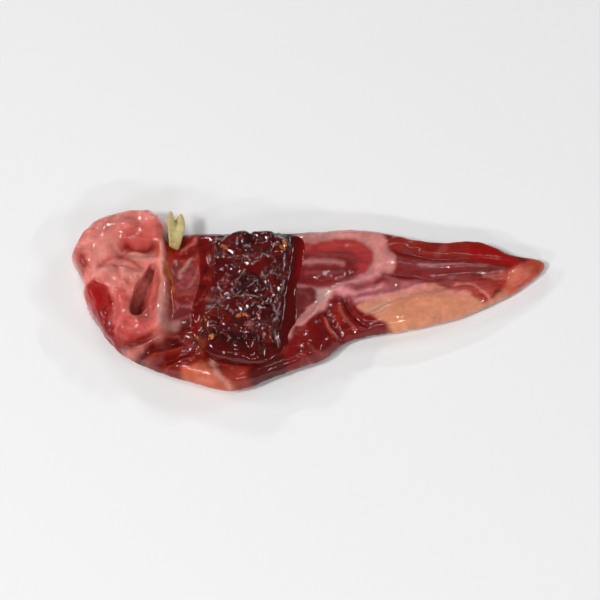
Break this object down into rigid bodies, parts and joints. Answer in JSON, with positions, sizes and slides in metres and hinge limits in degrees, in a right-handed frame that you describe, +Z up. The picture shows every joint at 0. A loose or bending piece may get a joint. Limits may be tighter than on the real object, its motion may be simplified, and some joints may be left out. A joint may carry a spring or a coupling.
{
  "type": "raw veal teardrop cut",
  "caption": "Raw veal slice of teardrop outline, one end folded and the other a tip, with a band of chunky chilli sauce across it and a shred of garlic beside the band.",
  "frame": {"origin": "on the surface that the slice lies on, under the middle of its box", "axes": "+X from the folded end to the tip, +Y across the slice towards its straight far edge, +Z up"},
  "size_m": [0.13, 0.053, 0.0118],
  "materials": {
    "raw_veal": "wet raw meat: red and purplish muscle, salmon-pink folded tissue, pale membrane and an orange-pink strip of fat",
    "chilli_sauce": "wet, lumpy, dark maroon and translucent, with orange and red seeds and chopped bits",
    "garlic": "moist, pale yellow, slightly translucent"
  },
  "bodies": {
    "root": {"veal_slice": "raw_veal", "chilli_sauce": "chilli_sauce", "garlic_shred": "garlic"}
  },
  "joints": []
}
